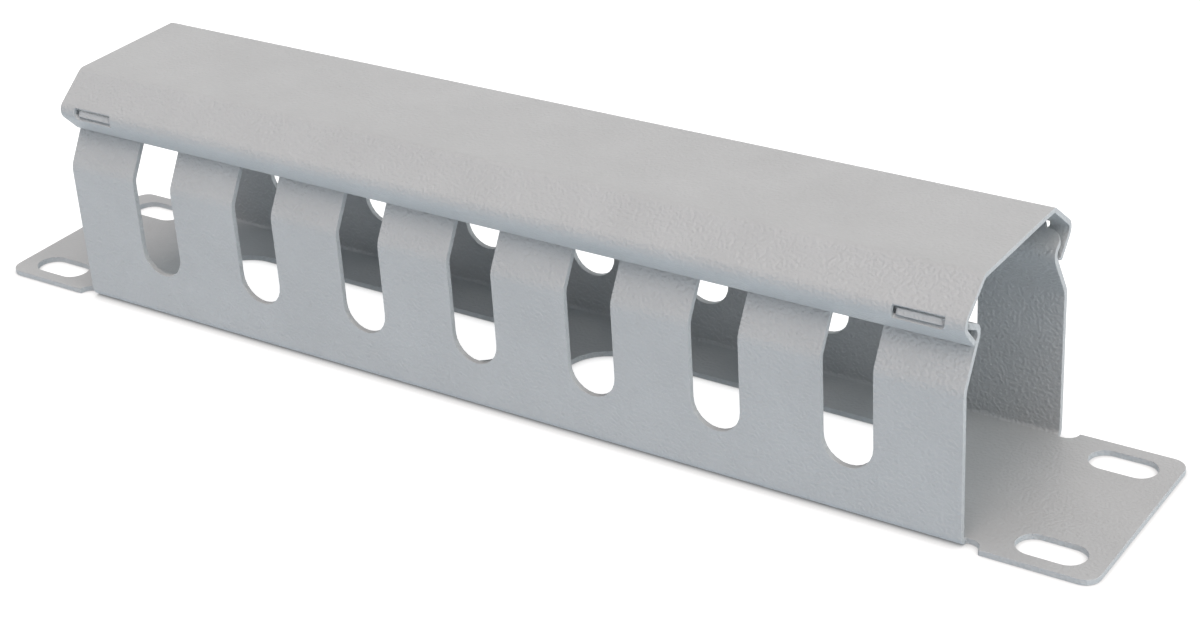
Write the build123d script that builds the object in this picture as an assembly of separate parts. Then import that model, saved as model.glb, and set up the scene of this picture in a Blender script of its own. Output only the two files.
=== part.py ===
from build123d import *
import math
import os

# Horizontal cable manager, one rack unit high, for a 10-inch rack.
# Two folded sheets of powder-coated steel: a slotted duct with ears that bolt to the rails,
# and a cover that snaps over the noses of the duct's fingers.
# X runs along the duct, -Y is the side seen in front, +Z points away from the rails.
# The origin is in the middle of the back plate's underside, the face that meets the rails.
# Lengths are in millimetres and angles in degrees.

# Sheets and folds
duct_sheet = 1.2          # thickness of the duct's steel
cover_sheet = 1.0         # thickness of the cover's steel
fold_radius = 0.8         # inside, between the back plate and a wall
cover_fold_radius = 1.3   # inside, all four of the cover's folds

# Back plate: the ears are what stands past the walls at each end
bolt_span = 236.5         # from one rail's holes to the other's
bolt_rise = 31.75         # between the two holes of one rack unit
bolt_slot_length = 13.2
bolt_slot_width = 6.8
end_rim = 3.95            # metal past a slot at the end of the ear
edge_rim = 2.725          # metal past a slot at the long edges
ear_corner = 3.0
slot_to_duct = 7.9        # metal between a slot and the end of the duct's walls
window_width = 17.7
window_web = 12.4         # plate left between the two windows
window_to_end = 14.95     # plate between a window and the end of the walls

# Walls
wall_inset = 0.5          # wall's outer face in from the ear's long edge
notch_width = 3.4         # relief between the end of a wall and the ear, as deep as the fold
notch_corner = 2.4        # its rounding beside the ear

# Openings between the fingers
gap_width = 10.4
gap_pitch = 27.1
gap_floor = 10.2          # lowest point of the round bottom, above the rails
end_finger_least = 14.0   # no opening leaves an end finger narrower than this

# Fingers and their noses
lean_height = 31.2        # where a finger starts to lean inwards
lean_rise = 9.67          # height of the leaning part
lean_angle = 30.0         # from upright
lean_fold_radius = 3.0
nose_angle = 24.0         # above level, turned outwards again
nose_fold_radius = 1.2
nose_corner = 3.2         # rounding of a nose's two free corners, seen from above
tab_width = 9.2           # tongue on each end finger, through the cover's slot
tab_corner = 0.9

# Cover
cover_past_duct = 0.2     # at each end
cover_rise = 6.8          # height of the sloping sides
cover_overhang = 1.4      # lower fold's sharp corner out from the duct's wall
side_angle = 38.5         # sloping sides, below level
flange_angle = 42.0       # return flanges, from upright, turned inwards
slot_corner = 1.2         # rounding of a slot's lower outer corner

# Clearances between the cover and the duct
nose_gap = 0.2            # end of a nose to the inside of the flange
hook_gap = 0.3            # edge of the flange to the leaning face of a finger
eave_lift = 0.12          # lower fold's sharp corner above the line of the nose's lower face
tab_gap = 0.4             # each side of a tab in its slot
slot_above_tab = 0.7
slot_below_tab = 0.42

# Sizes that follow
plate_length = bolt_span + bolt_slot_length + 2 * end_rim
plate_width = bolt_rise + bolt_slot_width + 2 * edge_rim
duct_length = bolt_span - bolt_slot_length - 2 * slot_to_duct
duct_width = plate_width - 2 * wall_inset
gap_count = int((duct_length - 2 * end_finger_least - gap_width) // gap_pitch) + 1
gap_row_length = (gap_count - 1) * gap_pitch + gap_width
end_finger_width = (duct_length - gap_row_length) / 2
end_finger_x = (duct_length - end_finger_width) / 2


def direction(angle):
    """Unit vector of the cross-section, turned anticlockwise from +Y."""
    return Vector(math.cos(math.radians(angle)), math.sin(math.radians(angle)))


def left_of(way):
    """The direction a quarter turn to the left of another."""
    return Vector(-way.Y, way.X)


def cross(a, b):
    """Above zero where direction b lies to the left of direction a."""
    return a.X * b.Y - a.Y * b.X


def meet(point_a, way_a, point_b, way_b):
    """Point where two lines of the cross-section cross."""
    return point_a + way_a * (cross(point_b - point_a, way_b) / cross(way_a, way_b))


def mirrored(points):
    """The same corners on the other side of the duct, in the opposite order."""
    return [Vector(-p.X, p.Y) for p in reversed(points)]


def sheet_section(corners, inside_radii, sheet):
    """Cross-section of a folded sheet with square-cut edges. The corners are those of one
    face, with the metal on its left. A fold is two arcs about one centre, and its inside
    radius is given."""
    ways = [(b - a).normalized() for a, b in zip(corners, corners[1:])]
    far_corners = [corners[0] + left_of(ways[0]) * sheet]
    near_radii = []
    far_radii = []
    for corner, before, after, radius in zip(corners[1:], ways, ways[1:], inside_radii):
        bisector = left_of(before) + left_of(after)
        far_corners.append(corner + bisector * (sheet / (1 + before.dot(after))))
        metal_inside = cross(before, after) > 0
        near_radii.append(radius + sheet if metal_inside else radius)
        far_radii.append(radius if metal_inside else radius + sheet)
    far_corners.append(corners[-1] + left_of(ways[-1]) * sheet)
    if inside_radii:
        near_face = FilletPolyline(*corners, radius=near_radii)
        far_face = FilletPolyline(*far_corners, radius=far_radii)
    else:
        near_face = Line(*corners)
        far_face = Line(*far_corners)
    edges = near_face.edges() + far_face.edges()
    edges += [Line(corners[0], far_corners[0]), Line(corners[-1], far_corners[-1])]
    return Plane.YZ * make_face(edges)


def along_x(section, length, middle=0.0):
    """A cross-section carried along the duct, the given length about a middle."""
    return Pos(middle, 0, 0) * extrude(section, amount=length / 2, both=True)


def row(count, pitch):
    """Places of a row of equal things, spread evenly about the middle."""
    return [(i - (count - 1) / 2) * pitch for i in range(count)]


# Corners of the duct's outer face on the rear side, from the back plate to the nose
lean_way = direction(90 + lean_angle)
nose_way = direction(nose_angle)
nose_up = left_of(nose_way) * duct_sheet
wall_foot = Vector(duct_width / 2, 0)
lean_corner = Vector(duct_width / 2, lean_height)
nose_root = lean_corner + lean_way * (lean_rise / lean_way.Y)

# Corners of the cover's inner and outer faces on the rear side, from the flange to the top
flange_way = direction(90 - flange_angle)
flange_in = left_of(flange_way) * cover_sheet
side_way = direction(180 - side_angle)
eave_y = duct_width / 2 + cover_overhang
eave_line = Vector(eave_y, 0)
eave = meet(nose_root, nose_way, eave_line, direction(90)) + Vector(0, eave_lift)
rim = eave + side_way * (cover_rise / side_way.Y)
cover_height = rim.Y
hook_line = lean_corner - left_of(lean_way) * hook_gap
flange_inside = eave + flange_in
flange_edge = meet(hook_line, lean_way, flange_inside, flange_way) - flange_in

# The nose stops just short of the flange, and the tab goes on through its slot
nose_stop = meet(flange_inside + left_of(flange_way) * nose_gap, flange_way, nose_root, nose_way)
tab_stop = meet(wall_foot, direction(90), nose_root, nose_way)
tab_leaves = meet(flange_inside, flange_way, nose_root, nose_way)


def fingers_in_plan():
    """Outlines of all fingers of the rear wall seen from above, with rounded free corners."""
    edges_x = [-duct_length / 2]
    for gap_x in row(gap_count, gap_pitch):
        edges_x += [gap_x - gap_width / 2, gap_x + gap_width / 2]
    edges_x.append(duct_length / 2)
    fingers = Sketch()
    for left, right in zip(edges_x[::2], edges_x[1::2]):
        outline = Pos((left + right) / 2, nose_stop.X / 2) * Rectangle(right - left, nose_stop.X)
        corners = outline.vertices().group_by(Axis.Y)[-1]
        fingers += fillet(corners, nose_corner)
    return fingers


def make_duct():
    """Duct body: one sheet with the back plate, two slotted walls and four ear slots."""
    rear = [wall_foot, lean_corner, nose_root, nose_stop]
    folds = [nose_fold_radius, lean_fold_radius, fold_radius]
    section = sheet_section(mirrored(rear) + rear, folds + folds[::-1], duct_sheet)
    duct = along_x(section, duct_length)

    plate = extrude(RectangleRounded(plate_length, plate_width, ear_corner), duct_sheet)
    duct += plate - Box(duct_length, plate_width, 2 * duct_sheet)

    fold_start = duct_width / 2 - duct_sheet - fold_radius
    notch_middle = Pos((duct_length + notch_width) / 2, fold_start + plate_width / 2)
    notch = notch_middle * Rectangle(notch_width, plate_width)
    notch = fillet(notch.vertices().group_by(Axis.Y)[0].sort_by(Axis.X)[-1], notch_corner)
    notches = [notch, mirror(notch, Plane.YZ)]
    notches += [mirror(each, Plane.XZ) for each in notches]
    bolt_slots = GridLocations(bolt_span, bolt_rise, 2, 2) * SlotOverall(
        bolt_slot_length, bolt_slot_width)
    window_length = (duct_length - window_web) / 2 - window_to_end
    windows = GridLocations(window_length + window_web, 0, 2, 1) * SlotOverall(
        window_length, window_width)
    duct -= extrude(Sketch() + notches + bolt_slots + windows, duct_sheet, both=True)

    gap_middle = Pos(0, gap_floor + cover_height / 2)
    gap = gap_middle * SlotOverall(cover_height, gap_width, rotation=90)
    gaps = Sketch() + [Pos(x, 0) * gap for x in row(gap_count, gap_pitch)]
    duct -= extrude(Plane.XZ * gaps, plate_width, both=True)

    nose_band = Pos(0, plate_width / 2) * Rectangle(plate_length, plate_width)
    trim = Pos(0, 0, nose_root.Y) * extrude(nose_band - fingers_in_plan(), cover_height)
    duct -= trim
    duct -= mirror(trim, Plane.XZ)

    tab_start = nose_stop - nose_way * duct_sheet
    tab_section = sheet_section([tab_start, tab_stop], [], duct_sheet)
    for x in (-end_finger_x, end_finger_x):
        tab = along_x(tab_section, tab_width, x)
        free_end = tab.faces().sort_by(Axis((0, 0, 0), Vector(0, nose_way.X, nose_way.Y)))[-1]
        corners = free_end.edges().filter_by(GeomType.LINE).sort_by(Axis.X)
        tab = fillet([corners[0], corners[-1]], tab_corner)
        duct += tab
        duct += mirror(tab, Plane.XZ)
    return duct


def make_cover():
    """Cover: one sheet with a flat top, two sloping sides and two return flanges."""
    rear = [flange_edge, eave, rim]
    section = sheet_section(rear + mirrored(rear), [cover_fold_radius] * 4, cover_sheet)
    cover = along_x(section, duct_length + 2 * cover_past_duct)

    slot_low = tab_leaves.Y - slot_below_tab
    slot_high = (tab_stop + nose_up).Y + slot_above_tab
    slot_length = tab_width + 2 * tab_gap
    slot = Pos(0, (slot_low + slot_high) / 2) * Rectangle(slot_length, slot_high - slot_low)
    outer_low = slot.vertices().group_by(Axis.Y)[0].sort_by(Axis.X)[-1]
    slot = Pos(end_finger_x, 0) * fillet(outer_low, slot_corner)
    slots = extrude(Plane.XZ * slot, plate_width, both=True)
    cover -= slots
    cover -= mirror(slots, Plane.YZ)
    return cover


os.makedirs("parts", exist_ok=True)
export_step(make_duct(), "parts/duct_body.step")
export_step(make_cover(), "parts/cover.step")
print("Cover height", round(cover_height, 2), "duct length", round(duct_length, 2))
print("Openings in each wall", gap_count, "end finger", round(end_finger_width, 2))
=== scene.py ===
import math
import bmesh
import bpy
import numpy as np
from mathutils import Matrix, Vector
from mathutils.geometry import delaunay_2d_cdt


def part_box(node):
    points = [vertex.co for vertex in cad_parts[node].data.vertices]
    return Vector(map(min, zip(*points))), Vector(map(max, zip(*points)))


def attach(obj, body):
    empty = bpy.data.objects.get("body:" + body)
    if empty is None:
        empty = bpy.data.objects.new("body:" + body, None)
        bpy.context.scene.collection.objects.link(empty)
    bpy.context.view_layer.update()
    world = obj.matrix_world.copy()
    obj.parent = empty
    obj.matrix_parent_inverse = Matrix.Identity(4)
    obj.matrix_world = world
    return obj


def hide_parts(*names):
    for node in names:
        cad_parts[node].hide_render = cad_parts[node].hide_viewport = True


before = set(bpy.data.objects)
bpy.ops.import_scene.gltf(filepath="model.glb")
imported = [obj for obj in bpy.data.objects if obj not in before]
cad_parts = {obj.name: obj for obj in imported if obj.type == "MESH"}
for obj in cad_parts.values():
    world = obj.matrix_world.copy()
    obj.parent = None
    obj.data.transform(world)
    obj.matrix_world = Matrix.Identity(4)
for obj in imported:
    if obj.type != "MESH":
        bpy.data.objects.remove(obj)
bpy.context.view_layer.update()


# Duct body
# One sheet of 1.2 mm steel: a flat blank is cut with its windows, ear slots and the U-shaped
# openings between the fingers, then folded along six lines and powder-coated light grey.
MM = 0.001                # lengths are in millimetres, and MM turns them into metres
EDGE_RADIUS = 0.12        # paint rounds every cut edge
CUT_CORNER = 2 * EDGE_RADIUS    # the sharpest corner of an outline
DUCT_SHEET = 1.2
DUCT_LENGTH = 207.5
FOLD_RADIUS = 0.8         # inside, between the back plate and a wall
LEAN_FOLD_RADIUS = 3.0
NOSE_FOLD_RADIUS = 1.2
LEAN_HEIGHT = 31.2
LEAN_RISE = 9.67
LEAN_ANGLE = 30.0         # from upright, in degrees
NOSE_ANGLE = 24.0         # above level
NOSE_REACH = 20.02        # lower edge of a nose out from the middle of the duct
NOSE_CORNER = 3.2
TAB_WIDTH = 9.2
TAB_CORNER = 0.9
WALL_INSET = 0.5
NOTCH_WIDTH = 3.4         # relief between the end of a wall and the ear, as deep as the fold
NOTCH_CORNER = 2.4
GAP_COUNT = 7             # openings between the fingers of one wall
GAP_PITCH = 27.1
GAP_WIDTH = 10.4
GAP_FLOOR = 10.2
EAR_CORNER = 3.0
BOLT_SPAN, BOLT_RISE = 236.5, 31.75
BOLT_SLOT_LENGTH, BOLT_SLOT_WIDTH = 13.2, 6.8
WINDOW_LENGTH, WINDOW_WIDTH, WINDOW_WEB = 82.6, 17.7, 12.4

FOLD_STEPS = 8            # flat strips that make one fold
EDGE_POINTS = 4           # across the quarter round of a cut edge
CORNER_POINTS = 7         # along the arc of an outline's corner
SLOT_POINTS = 13          # along half of a slot's round end
WINDOW_POINTS = 17
SAME_POINT = 1e-4         # nearer than this, two points of an outline are one
CUT_TOLERANCE = 1e-6      # nearer than this, a point lies on a fold's line
FILL_TOLERANCE = 1e-7


# X runs along the duct, -Y is the side seen in front, and +Z points away from the rails
def across(angle):
    """Unit vectors of the cross-section (Y, Z): the cosine and the sine of angles in radians,
    which turn anticlockwise from +Y."""
    return np.stack([np.cos(angle), np.sin(angle)], -1)


def towards(degrees):
    """One unit vector of the cross-section, turned anticlockwise from +Y."""
    return across(math.radians(degrees))


def left_of(way):
    """The same vectors turned a quarter turn to the left."""
    return np.stack([-way[..., 1], way[..., 0]], -1)


def turn_between(before, after):
    """Signed turn from one direction to another, above zero to the left, in radians."""
    return np.arctan2((left_of(before) * after).sum(-1), (before * after).sum(-1))


def meet(point_a, way_a, point_b, way_b):
    """Point where two lines of the cross-section cross."""
    upright = left_of(way_b)
    return point_a + way_a * (((point_b - point_a) @ upright) / (way_a @ upright))


def mirrored(points):
    """The same corners on the other side of the duct, in the opposite order."""
    return [p * (-1, 1) for p in reversed(points)]


def fold_table(corners, inside_radii, sheet):
    """The runs and folds of a cross-section, in order. The corners are those of one face, with
    the metal on its left. For each run or fold it holds where it starts, measured along the
    middle of the sheet from the middle of the section, its length there, the point and heading
    where it starts, its turn per length, and how far to the left its centre lies."""
    corners = np.array(corners)
    inside_radii = np.array(inside_radii)
    steps = np.diff(corners, axis=0)
    lengths = np.linalg.norm(steps, axis=1)
    ways = steps / lengths[:, None]
    turns = turn_between(ways[:-1], ways[1:])
    radii = inside_radii + sheet * (turns > 0)
    trims = radii * np.tan(np.abs(turns) / 2)
    spans = np.zeros(2 * len(lengths) - 1)
    spans[0::2] = lengths - np.append(0, trims) - np.append(trims, 0)
    spans[1::2] = (inside_radii + sheet / 2) * np.abs(turns)
    points = np.zeros((len(spans), 2))
    points[0::2] = corners[:-1] + ways * np.append(0, trims)[:, None]
    points[1::2] = corners[1:-1] - ways[:-1] * trims[:, None]
    heading = np.repeat(np.arctan2(ways[:, 1], ways[:, 0]), 2)[:-1]
    rates = np.zeros(len(spans))
    centres = np.zeros(len(spans))
    rates[1::2] = turns / spans[1::2]
    centres[1::2] = radii * np.sign(turns)
    ends = np.cumsum(spans)
    starts = ends - spans - ends[-1] / 2
    return {"start": starts, "span": spans, "point": points, "heading": heading,
            "rate": rates, "centre": centres}


def fold(table, place, depth):
    """Where points of the flat blank lie once folded, and the heading there. On a run a point
    goes straight on along the heading, with its depth to the left. On a fold it turns about
    the centre, at the radius less its depth."""
    part = np.clip(np.searchsorted(table["start"], place, side="right") - 1, 0, None)
    along = place - table["start"][part]
    first = across(table["heading"][part])
    angle = table["heading"][part] + table["rate"][part] * along
    start = table["point"][part]
    straight = start + first * along[:, None] + left_of(first) * depth[:, None]
    radius = table["centre"][part][:, None]
    arm = left_of(across(angle)) * (radius - depth[:, None])
    turned = start + left_of(first) * radius - arm
    return np.where(table["rate"][part][:, None] == 0, straight, turned), angle


def rounded(corners, radii, arc_points=CORNER_POINTS):
    """Closed outline with an arc at each corner, and the direction away from the metal at each
    point. The metal is on the left of the way round. An arc lies about its centre at the
    corner's radius, between the headings before and after the corner. Where two points fall
    together, one is left out."""
    corners = np.array(corners, float)
    radii = np.array(radii, float)[:, None]
    before = corners - np.roll(corners, 1, axis=0)
    before /= np.linalg.norm(before, axis=1)[:, None]
    turn = turn_between(before, np.roll(before, -1, axis=0))[:, None]
    start = corners - before * radii * np.tan(np.abs(turn) / 2)
    centre = start + left_of(before) * radii * np.sign(turn)
    heading = np.arctan2(before[:, 1:], before[:, :1]) + turn * np.linspace(0, 1, arc_points)
    out = -left_of(across(heading))
    points = (centre[:, None] + out * (radii * np.sign(turn))[:, None]).reshape(-1, 2)
    apart = np.linalg.norm(points - np.roll(points, 1, axis=0), axis=1) > SAME_POINT
    return points[apart], out.reshape(-1, 2)[apart]


def obround(middle_x, middle_y, length, width, arc_points=SLOT_POINTS):
    """Outline of a hole with full-round ends, longer along the duct."""
    x, y = length / 2, width / 2
    corners = np.array([(-x, -y), (-x, y), (x, y), (x, -y)]) + (middle_x, middle_y)
    return rounded(corners, [y] * 4, arc_points)


def fill(points, following):
    """Triangles between the outlines, outside the holes. A triangle counts if a line from its
    middle meets the outlines an odd number of times."""
    corners = [Vector(p) for p in points]
    edges = list(zip(range(len(points)), following.tolist()))
    no_faces, keep_all = [], 0
    found = delaunay_2d_cdt(corners, edges, no_faces, keep_all, FILL_TOLERANCE)
    faces, sources = found[2], found[3]
    triangles = np.array([[sources[i][0] for i in face] for face in faces])
    middle = points[triangles].mean(1)[:, None]
    a, b = points, points[following]
    spans = (a[:, 1] > middle[..., 1]) != (b[:, 1] > middle[..., 1])
    rise = np.where(a[:, 1] == b[:, 1], 1, b[:, 1] - a[:, 1])
    reach = a[:, 0] + (middle[..., 1] - a[:, 1]) * (b[:, 0] - a[:, 0]) / rise
    return triangles[(spans & (middle[..., 0] < reach)).sum(1) % 2 == 1]


def blank(outlines, sheet):
    """Flat sheet with softly rounded edges: points (along, across, depth), their normals, and
    faces. A rim of a quarter round, a straight wall and a quarter round runs along every
    outline, and both faces are filled between the outlines' insets."""
    quarter = np.linspace(0, math.pi / 2, EDGE_POINTS)
    inset = EDGE_RADIUS * (1 - np.sin(quarter))
    depth = EDGE_RADIUS * (1 - np.cos(quarter))
    inset = np.append(inset, inset[::-1])[:, None, None]
    depth = np.append(depth, sheet - depth[::-1])[:, None, None]
    sideways = np.append(np.sin(quarter), np.sin(quarter)[::-1])[:, None, None]
    facing = np.append(-np.cos(quarter), np.cos(quarter)[::-1])[:, None, None]
    edge = np.concatenate([points for points, _ in outlines])
    out = np.concatenate([away for _, away in outlines])
    rows, count = len(depth), len(edge)
    all_round = np.ones((1, count, 1))
    points = np.concatenate([edge - out * inset, depth * all_round], 2)
    normals = np.concatenate([out * sideways, facing * all_round], 2)
    counts = [len(outline) for outline, _ in outlines]
    firsts = np.cumsum(counts) - counts
    here = np.arange(count)
    following = np.concatenate([f + (np.arange(n) + 1) % n for f, n in zip(firsts, counts)])
    row = np.arange(rows - 1)[:, None] * count
    corners = [here + row, following + row, following + row + count, here + row + count]
    band = np.stack(corners, 2).reshape(-1, 4)
    near = fill(points[0, :, :2], following)
    far = near + (rows - 1) * count
    faces = band.tolist() + near[:, ::-1].tolist() + far.tolist()
    return points.reshape(-1, 3), normals.reshape(-1, 3), faces


def vectors_of(values, kind):
    """What the mesh holds for every point, as rows of three numbers."""
    flat = np.zeros(len(values) * 3)
    values.foreach_get(kind, flat)
    return flat.reshape(-1, 3)


def folded_sheet(name, outlines, sheet, table, is_folded):
    """Cuts the blank along each fold's lines, carries every point round the folds with its
    normal, and makes the object. Points that is_folded leaves out stay in the flat. The mesh's
    attribute level is one where the surface lies level and zero where it stands upright."""
    points, normals, faces = blank(outlines, sheet)
    mesh = bpy.data.meshes.new(name)
    mesh.from_pydata(points.tolist(), [], faces)
    carried = mesh.attributes.new("flat_normal", "FLOAT_VECTOR", "POINT")
    carried.data.foreach_set("vector", normals.ravel())
    bm = bmesh.new()
    bm.from_mesh(mesh)
    for start, span, rate in zip(table["start"], table["span"], table["rate"]):
        if rate:
            for place in start + span * np.linspace(0, 1, FOLD_STEPS + 1):
                geometry = bm.verts[:] + bm.edges[:] + bm.faces[:]
                bmesh.ops.bisect_plane(bm, geom=geometry, dist=CUT_TOLERANCE,
                                       plane_co=(0, place, 0), plane_no=(0, 1, 0))
    bm.to_mesh(mesh)
    bm.free()
    flat = vectors_of(mesh.vertices, "co")
    normal = vectors_of(mesh.attributes["flat_normal"].data, "vector")
    mesh.attributes.remove(mesh.attributes["flat_normal"])
    section, heading = fold(table, flat[:, 1], flat[:, 2])
    stays = ~is_folded(flat)
    section[stays] = flat[stays, 1:]
    heading[stays] = 0
    way = across(heading)
    turned = way * normal[:, 1:2] + left_of(way) * normal[:, 2:]
    placed = np.column_stack([flat[:, 0], section]) * MM
    shading = np.column_stack([normal[:, 0], turned])
    shading /= np.linalg.norm(shading, axis=1)[:, None]
    mesh.vertices.foreach_set("co", placed.ravel())
    level = mesh.attributes.new("level", "FLOAT", "POINT")
    level.data.foreach_set("value", np.abs(shading[:, 2]))
    mesh.shade_smooth()
    mesh.normals_split_custom_set_from_vertices(shading.tolist())
    mesh.update()
    piece = bpy.data.objects.new(name, mesh)
    bpy.context.scene.collection.objects.link(piece)
    return piece


ear_end, ear_side, _ = np.array(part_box("duct_body")[1]) / MM
wall_face = ear_side - WALL_INSET
duct_end = DUCT_LENGTH / 2

lean_way = towards(90 + LEAN_ANGLE)
nose_way = towards(NOSE_ANGLE)
lean_corner = np.array([wall_face, LEAN_HEIGHT])
nose_root = lean_corner + lean_way * (LEAN_RISE / lean_way[1])
tab_stop = nose_root + nose_way * ((wall_face - nose_root[0]) / nose_way[0])
rear_corners = [np.array([wall_face, 0.0]), lean_corner, nose_root, tab_stop]
rear_radii = [FOLD_RADIUS, LEAN_FOLD_RADIUS, NOSE_FOLD_RADIUS]
duct_folds = fold_table(
    mirrored(rear_corners) + rear_corners, rear_radii[::-1] + rear_radii, DUCT_SHEET)
WALL_RUN, NOSE_RUN = -5, -1     # the rear wall's and nose's places in the fold table


def on_run(table, run, value, axis):
    """Place along the blank where a run reaches a given Y (axis 0) or Z (axis 1)."""
    point, way = table["point"][run], across(table["heading"][run])
    return table["start"][run] + (value - point[axis]) / way[axis]


def duct_outline():
    """Edge of the blank, worked out for the rear right quarter from the middle of the duct to
    the end of the ear, and mirrored to the other three."""
    floor = on_run(duct_folds, WALL_RUN, GAP_FLOOR, 1)
    nose = on_run(duct_folds, NOSE_RUN, NOSE_REACH, 0)
    tab = on_run(duct_folds, NOSE_RUN, wall_face, 0)
    notch = duct_folds["start"][WALL_RUN - 1]
    round_bottom = GAP_WIDTH / 2
    quarter = []
    for i in range(GAP_COUNT // 2 + 1):
        left, right = i * GAP_PITCH - round_bottom, i * GAP_PITCH + round_bottom
        if i:
            quarter += [((left, nose), NOSE_CORNER), ((left, floor), round_bottom)]
        quarter += [((right, floor), round_bottom), ((right, nose), NOSE_CORNER)]
    tab_middle = (right + duct_end) / 2
    for side in (-1, 1):
        edge = tab_middle + side * TAB_WIDTH / 2
        quarter += [((edge, nose), CUT_CORNER), ((edge, tab), TAB_CORNER)][::-side]
    notch_end = duct_end + NOTCH_WIDTH
    quarter += [
        ((duct_end, nose), NOSE_CORNER),
        ((duct_end, notch), EDGE_RADIUS),
        ((notch_end, notch), NOTCH_CORNER),
        ((notch_end, ear_side), CUT_CORNER),
        ((ear_end, ear_side), EAR_CORNER),
    ]
    corners = np.array([corner for corner, _ in quarter])
    radii = [radius for _, radius in quarter]
    rear = np.concatenate([corners[::-1], corners * (-1, 1)])
    around = np.concatenate([rear, -rear])
    return rounded(around, radii[::-1] + radii + radii[::-1] + radii)


window_x = (WINDOW_WEB + WINDOW_LENGTH) / 2
duct_outlines = [duct_outline()]
for side in (-1, 1):
    duct_outlines.append(obround(side * window_x, 0, WINDOW_LENGTH, WINDOW_WIDTH, WINDOW_POINTS))
    for rise in (-BOLT_RISE / 2, BOLT_RISE / 2):
        duct_outlines.append(obround(side * BOLT_SPAN / 2, rise, BOLT_SLOT_LENGTH, BOLT_SLOT_WIDTH))
fold_end = duct_end + (NOTCH_WIDTH - NOTCH_CORNER) / 2
duct = folded_sheet("painted_duct", duct_outlines, DUCT_SHEET, duct_folds,
                    lambda flat: np.abs(flat[:, 0]) < fold_end)

PAINT = (0.50, 0.52, 0.53)
CLOUD_SIZE = 14.0
CLOUD_NOISE = (0.3, 0.7)  # the part of the noise that spreads over the two tints
CLOUD_TINTS = (0.97, 1.03)
GLOSS_SIZE = 2.5
ROUGHNESS = (0.42, 0.56)
SKIN_SIZE, SKIN_HEIGHT = 0.65, 0.31     # the orange peel
FINE_SIZE, FINE_HEIGHT = 0.3, 0.03      # the smaller grain on top of it
GRAIN_SPACING, GRAIN_RADIUS, GRAIN_HEIGHT = 9.0, 0.315, 0.12
SLOPE_LEVEL = 0.5         # the skin starts to flatten where a face is this level
LEVEL_SKIN = 0.4          # share of the skin's height that is left on a level face


def powder_coat(name, seed):
    """Light grey powder coat: an even colour with faint clouding, half gloss, and the fine
    orange-peel skin that the coat flows out to, with a smaller grain on top of it. The skin is
    flatter on the level faces. A few single grains stand out of the coat."""
    material = bpy.data.materials.new(name)
    material.use_nodes = True
    nodes, links = material.node_tree.nodes, material.node_tree.links
    shader = nodes["Principled BSDF"]
    shift = nodes.new("ShaderNodeMapping")
    shift.inputs["Location"].default_value = (seed, seed, 0)
    links.new(nodes.new("ShaderNodeTexCoord").outputs["Object"], shift.inputs["Vector"])

    def noise(size, detail):
        """Soft noise with features of a given size."""
        node = nodes.new("ShaderNodeTexNoise")
        node.inputs["Scale"].default_value = 1 / (size * MM)
        node.inputs["Detail"].default_value = detail
        links.new(shift.outputs["Vector"], node.inputs["Vector"])
        return node.outputs["Fac"]

    def spread(value, low, high, first, last):
        """Carries the range from low to high over to the range from first to last."""
        node = nodes.new("ShaderNodeMapRange")
        ends = {"From Min": low, "From Max": high, "To Min": first, "To Max": last}
        for socket, end in ends.items():
            node.inputs[socket].default_value = end
        links.new(value, node.inputs["Value"])
        return node.outputs["Result"]

    tint = nodes.new("ShaderNodeMix")
    tint.data_type = "RGBA"
    for socket, share in zip("AB", CLOUD_TINTS):
        tint.inputs[socket].default_value = (*[channel * share for channel in PAINT], 1)
    clouds = spread(noise(CLOUD_SIZE, detail=3), *CLOUD_NOISE, 0, 1)
    links.new(clouds, tint.inputs["Factor"])
    links.new(tint.outputs["Result"], shader.inputs["Base Color"])
    gloss = spread(noise(GLOSS_SIZE, detail=2), 0, 1, *ROUGHNESS)
    links.new(gloss, shader.inputs["Roughness"])

    level = nodes.new("ShaderNodeAttribute")
    level.attribute_name = "level"
    strength = spread(level.outputs["Fac"], SLOPE_LEVEL, 1, 1, LEVEL_SKIN)
    spots = nodes.new("ShaderNodeTexVoronoi")
    spots.inputs["Scale"].default_value = 1 / (GRAIN_SPACING * MM)
    links.new(shift.outputs["Vector"], spots.inputs["Vector"])
    grain = spread(spots.outputs["Distance"], GRAIN_RADIUS / GRAIN_SPACING, 0, 0, 1)
    skin, fine = noise(SKIN_SIZE, detail=0.8), noise(FINE_SIZE, detail=0)
    normal = None
    for height, most in ((skin, SKIN_HEIGHT), (fine, FINE_HEIGHT), (grain, GRAIN_HEIGHT)):
        bump = nodes.new("ShaderNodeBump")
        bump.inputs["Distance"].default_value = most * MM
        links.new(strength, bump.inputs["Strength"])
        links.new(height, bump.inputs["Height"])
        if normal:
            links.new(normal, bump.inputs["Normal"])
        normal = bump.outputs["Normal"]
    links.new(normal, shader.inputs["Normal"])
    return material


duct.data.materials.append(powder_coat("duct_powder_coat", 0.0))
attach(duct, "duct")
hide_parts("duct_body")


# Cover
# One sheet of 1.0 mm steel with four slots, folded to a flat top, two sloping sides and two
# return flanges. The flanges spring over the noses, and the tabs come through the slots.
COVER_SHEET = 1.0
COVER_FOLD_RADIUS = 1.3   # inside, all four folds
COVER_OVERHANG = 1.4      # lower fold's sharp corner out from the duct's wall
COVER_RISE = 6.8
EAVE_LIFT = 0.12          # the same corner above the line of the nose's lower face
SIDE_ANGLE = 38.5         # below level, in degrees
FLANGE_ANGLE = 42.0       # from upright
HOOK_GAP = 0.3            # edge of the flange to the leaning face of a finger
COVER_CORNER = 0.5
COVER_SLOT_LENGTH = 10.0
COVER_SLOT_HEIGHTS = (42.48, 45.15)     # above the rails, once folded
COVER_SLOT_CORNER = 1.2

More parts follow.
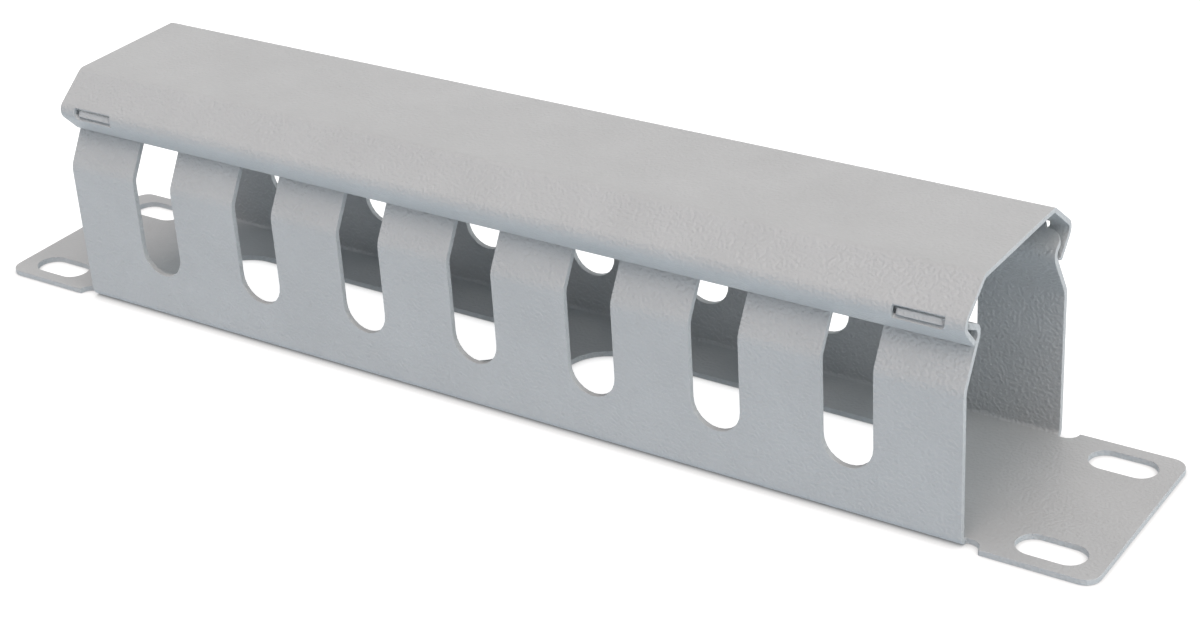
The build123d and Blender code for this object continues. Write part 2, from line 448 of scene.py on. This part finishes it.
cover_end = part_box("cover")[1][0] / MM
flange_way = towards(90 - FLANGE_ANGLE)
flange_in = left_of(flange_way) * COVER_SHEET
side_way = towards(180 - SIDE_ANGLE)
eave_line = np.array([wall_face + COVER_OVERHANG, 0.0])
eave = meet(eave_line, towards(90), nose_root, nose_way) + (0, EAVE_LIFT)
rim = eave + side_way * (COVER_RISE / side_way[1])
hook_line = lean_corner - left_of(lean_way) * HOOK_GAP
flange_edge = meet(eave + flange_in, flange_way, hook_line, lean_way) - flange_in
cover_side = [flange_edge, eave, rim]
cover_folds = fold_table(cover_side + mirrored(cover_side), [COVER_FOLD_RADIUS] * 4, COVER_SHEET)
TOP_RUN = 4               # the flat top's place in the fold table
CLIMB_STEPS = 400

cover_half = -cover_folds["start"][0]
cover_corners = np.array([(1, 1), (-1, 1), (-1, -1), (1, -1)]) * (cover_end, cover_half)
cover_outlines = [rounded(cover_corners, [COVER_CORNER] * 4)]
# places along the blank from the flange's edge to the flat top, and how high each one ends up
climb = np.linspace(-cover_half, cover_folds["start"][TOP_RUN], CLIMB_STEPS)
heights = fold(cover_folds, climb, np.zeros(CLIMB_STEPS))[0][:, 1]
low, high = np.interp(COVER_SLOT_HEIGHTS, heights, climb)
tab_x = (GAP_COUNT // 2 * GAP_PITCH + GAP_WIDTH / 2 + duct_end) / 2
inner, outer = tab_x - COVER_SLOT_LENGTH / 2, tab_x + COVER_SLOT_LENGTH / 2
slot_corners = np.array([(inner, low), (inner, high), (outer, high), (outer, low)])
slot_radii = [CUT_CORNER, CUT_CORNER, CUT_CORNER, COVER_SLOT_CORNER]
for x_side in (-1, 1):
    for y_side in (-1, 1):
        order = x_side * y_side
        corners = (slot_corners * (x_side, y_side))[::order]
        cover_outlines.append(rounded(corners, slot_radii[::order]))
cover = folded_sheet("painted_cover", cover_outlines, COVER_SHEET, cover_folds,
                     lambda flat: np.full(len(flat), True))
cover.data.materials.append(powder_coat("cover_powder_coat", 3.0))
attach(cover, "lid")
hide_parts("cover")


# Floor, light and camera
# A plain white floor that keeps the object's shadow, seven soft distant lamps like the lit walls
# and ceiling of a photo tent, and a camera at the photo's angle with its long lens.
FLOOR_SIZE = 4.0          # in metres
FLOOR_GAP = 0.02          # keeps the floor and the back plate from lying in one plane
# reach of the painted contact shadow in the floor's glow, in millimetres
SHADOW_REACH = 3.2
LIT_FLOOR, LIT_GLOW = (0.69, 0.82, 0.92, 1), (0.19, 0.19, 0.19, 1)
SEEN_FLOOR, SEEN_GLOW = (0.3, 0.3, 0.3, 1), (1, 1, 1, 1)
SKY_COLOUR, SKY_STRENGTH = (0.50, 0.80, 1.0, 1), 0.18
SENSOR_WIDTH, LENS = 36.0, 73.2
CAMERA_PLACE = (0.25762, -0.34773, 0.24040)     # in metres
CAMERA_TURN = (61.939, 3.183, 33.205)


def seen_or_mirrored(nodes, links):
    """One where the camera, a reflection or glass looks at a surface, and zero where it only
    lights the object."""
    path = nodes.new("ShaderNodeLightPath")
    total = path.outputs["Is Camera Ray"]
    for ray in ("Is Glossy Ray", "Is Transmission Ray"):
        either = nodes.new("ShaderNodeMath")
        either.use_clamp = True
        links.new(total, either.inputs[0])
        links.new(path.outputs[ray], either.inputs[1])
        total = either.outputs[0]
    return total


def floor_material():
    """A white table, lit a little from below. The camera sees it brighter, so that it clips to
    white, and darker within a few millimetres of the metal, a painted shadow made by ambient
    occlusion in its glow. Seen from below it is clear."""
    material = bpy.data.materials.new("white_floor")
    material.use_nodes = True
    nodes, links = material.node_tree.nodes, material.node_tree.links
    nodes.remove(nodes["Principled BSDF"])

    def glowing(reflected, glow):
        """A matt surface with a glow of its own, and the socket of the glow's colour."""
        matt = nodes.new("ShaderNodeBsdfDiffuse")
        matt.inputs["Color"].default_value = reflected
        lit = nodes.new("ShaderNodeEmission")
        lit.inputs["Color"].default_value = glow
        both = nodes.new("ShaderNodeAddShader")
        links.new(matt.outputs[0], both.inputs[0])
        links.new(lit.outputs[0], both.inputs[1])
        return both.outputs[0], lit.inputs["Color"]

    def mixed(factor, first, second):
        """The second surface where the factor is one, and the first where it is zero."""
        mix = nodes.new("ShaderNodeMixShader")
        links.new(factor, mix.inputs["Fac"])
        links.new(first, mix.inputs[1])
        links.new(second, mix.inputs[2])
        return mix.outputs[0]

    lit_floor, _ = glowing(LIT_FLOOR, LIT_GLOW)
    seen_floor, glow_with_painted_shadow = glowing(SEEN_FLOOR, SEEN_GLOW)
    # painted shadow: ambient occlusion darkens the glow that the camera sees near the metal
    near = nodes.new("ShaderNodeAmbientOcclusion")
    near.inputs["Distance"].default_value = SHADOW_REACH * MM
    near.inputs["Color"].default_value = SEEN_GLOW
    links.new(near.outputs["Color"], glow_with_painted_shadow)
    from_above = mixed(seen_or_mirrored(nodes, links), lit_floor, seen_floor)
    backfacing = nodes.new("ShaderNodeNewGeometry").outputs["Backfacing"]
    clear = nodes.new("ShaderNodeBsdfTransparent").outputs[0]
    one_sided = mixed(backfacing, from_above, clear)
    links.new(one_sided, nodes["Material Output"].inputs["Surface"])
    return material


half = FLOOR_SIZE / 2
floor_corners = np.array([(-half, -half, 0), (half, -half, 0), (half, half, 0), (-half, half, 0)])
floor_corners[:, 2] = -FLOOR_GAP * MM
floor_mesh = bpy.data.meshes.new("floor")
floor_mesh.from_pydata(floor_corners.tolist(), [], [(0, 1, 2, 3)])
floor_mesh.materials.append(floor_material())
floor = bpy.data.objects.new("floor", floor_mesh)
bpy.context.scene.collection.objects.link(floor)


def soft_lamp(name, source, width, power, colour):
    """Distant lamp that shines from a direction. Its width across the sky, in degrees, sets how
    soft the shadows are."""
    lamp = bpy.data.lights.new(name, "SUN")
    lamp.energy = power
    lamp.color = colour
    lamp.angle = math.radians(width)
    lamp_object = bpy.data.objects.new(name, lamp)
    lamp_object.rotation_euler = Vector(source).to_track_quat("Z", "Y").to_euler()
    bpy.context.scene.collection.objects.link(lamp_object)


soft_lamp("top", (0, 0, 1), 60, 0.66, (1.0, 0.87, 0.80))
soft_lamp("front_high", (0, -0.5, 1), 25, 0.64, (1.0, 0.83, 0.77))
soft_lamp("front_mid", (0, -1, 0.25), 60, 0.44, (1.0, 0.76, 0.68))
soft_lamp("right_high", (0.6, -0.3, 1), 40, 0.59, (1.0, 0.91, 0.83))
soft_lamp("right_low", (1, 0, 0.2), 50, 1.50, (1.0, 0.98, 0.96))
soft_lamp("left_high", (-1, -0.3, 1), 60, 0.28, (1.0, 0.94, 0.91))
soft_lamp("back_high", (0, 1, 0.6), 80, 0.37, (1.0, 0.89, 0.82))

world = bpy.data.worlds.new("studio")
bpy.context.scene.world = world
world.use_nodes = True
world_nodes, world_links = world.node_tree.nodes, world.node_tree.links
sky = world_nodes["Background"]
sky.inputs["Color"].default_value = SKY_COLOUR
sky.inputs["Strength"].default_value = SKY_STRENGTH
white = world_nodes.new("ShaderNodeBackground")
white.inputs["Color"].default_value = (1, 1, 1, 1)
white.inputs["Strength"].default_value = 1.0
backdrop = world_nodes.new("ShaderNodeMixShader")
world_links.new(seen_or_mirrored(world_nodes, world_links), backdrop.inputs["Fac"])
world_links.new(sky.outputs[0], backdrop.inputs[1])
world_links.new(white.outputs[0], backdrop.inputs[2])
world_links.new(backdrop.outputs[0], world_nodes["World Output"].inputs["Surface"])

camera_data = bpy.data.cameras.new("camera")
camera_data.sensor_width = SENSOR_WIDTH
camera_data.lens = LENS
camera = bpy.data.objects.new("camera", camera_data)
camera.location = CAMERA_PLACE
camera.rotation_euler = [math.radians(angle) for angle in CAMERA_TURN]
bpy.context.scene.collection.objects.link(camera)
bpy.context.scene.camera = camera
bpy.context.scene.view_settings.view_transform = "Standard"
